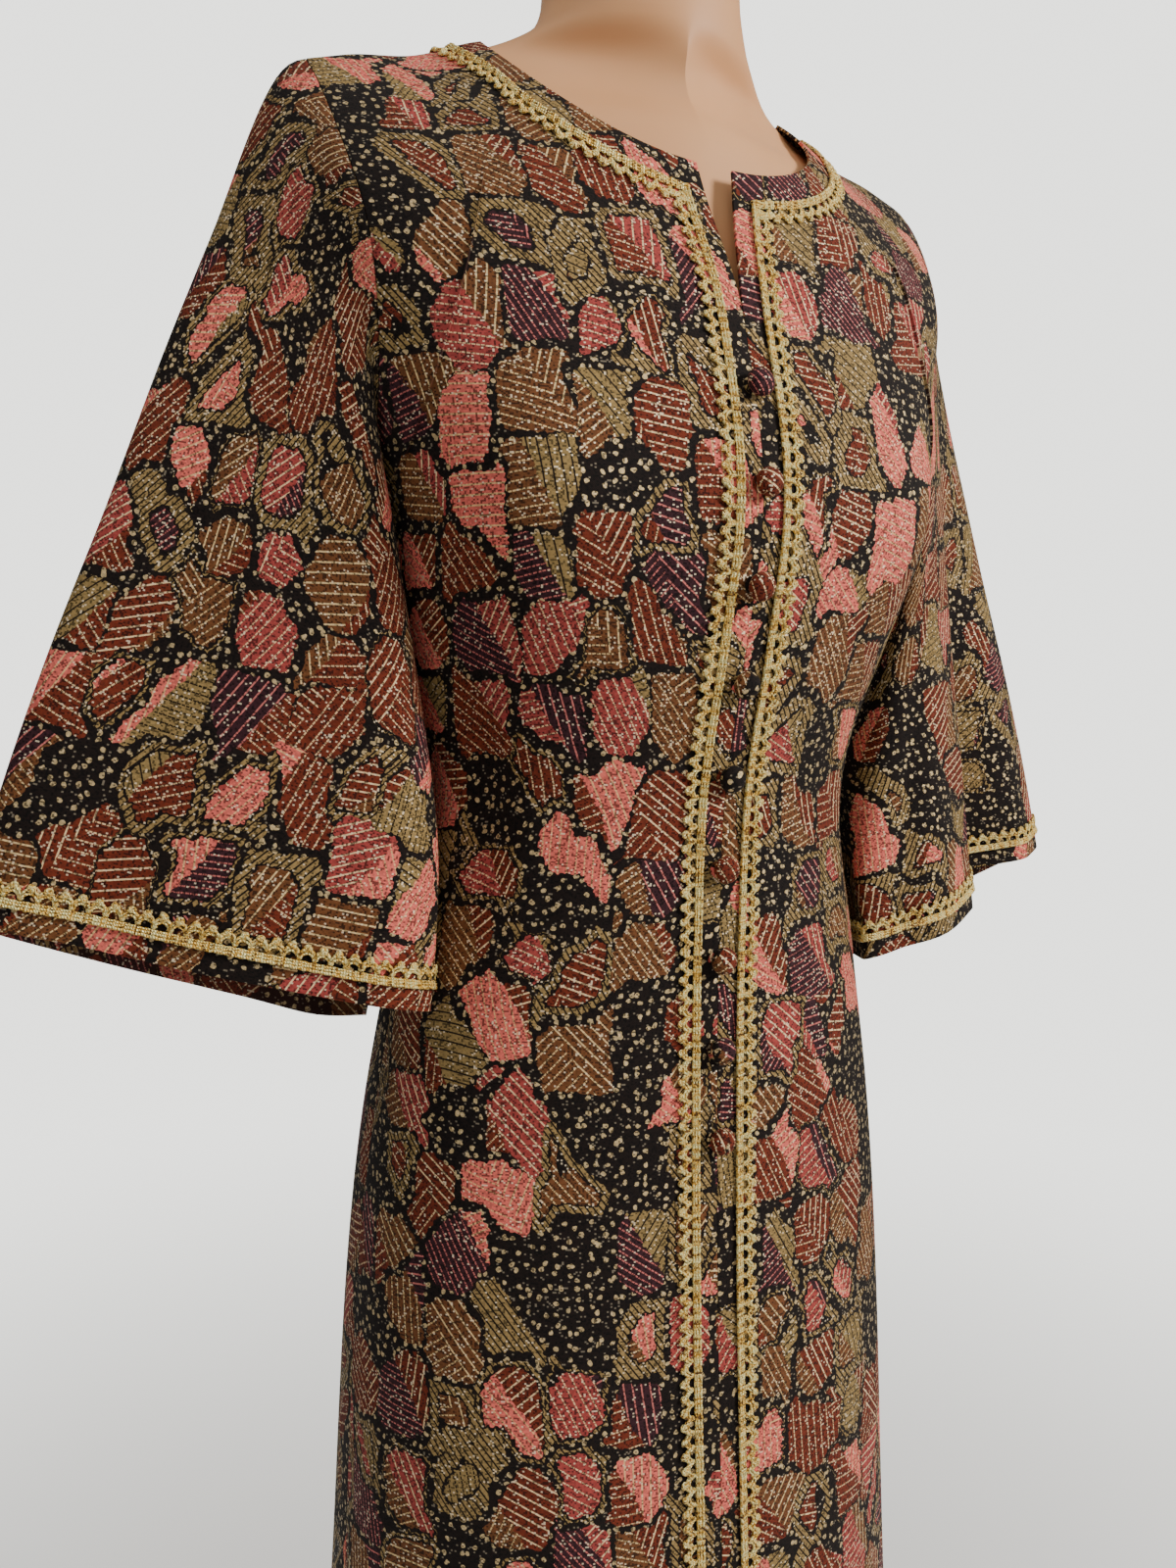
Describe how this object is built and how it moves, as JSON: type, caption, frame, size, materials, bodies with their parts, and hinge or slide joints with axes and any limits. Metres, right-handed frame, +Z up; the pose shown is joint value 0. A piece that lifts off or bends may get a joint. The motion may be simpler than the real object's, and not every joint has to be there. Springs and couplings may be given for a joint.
{
  "type": "kaftan on dress form",
  "caption": "Long knit kaftan with bell sleeves, a slit round neck, braid trim and covered buttons, on a limbless dress form with a round base.",
  "frame": {"origin": "centre of the base's underside, on the floor", "axes": "+Z up, the front of the kaftan faces -Y, the wearer's right side is at -X"},
  "size_m": [0.736, 0.356, 1.531],
  "materials": {
    "cloth": "jacquard double knit with metallic thread, in black, brick, pink, tan and gold",
    "braid": "gold metallic gimp braid",
    "covered_button": "ball buttons covered in the same knit",
    "form": "smooth skin-toned moulded plastic",
    "stand": "brushed steel"
  },
  "bodies": {
    "root": {"front_right": "cloth", "front_left": "cloth", "back": "cloth", "sleeve_right": "cloth", "sleeve_left": "cloth", "braid_front_right": "braid", "braid_front_left": "braid", "braid_back_neck": "braid", "braid_cuff_right": "braid", "braid_cuff_left": "braid", "button_1": "covered_button", "button_2": "covered_button", "button_3": "covered_button", "button_4": "covered_button", "button_5": "covered_button", "button_6": "covered_button", "button_7": "covered_button", "button_8": "covered_button", "button_9": "covered_button", "form_torso": "form", "form_pole": "stand", "form_base": "stand"}
  },
  "joints": []
}
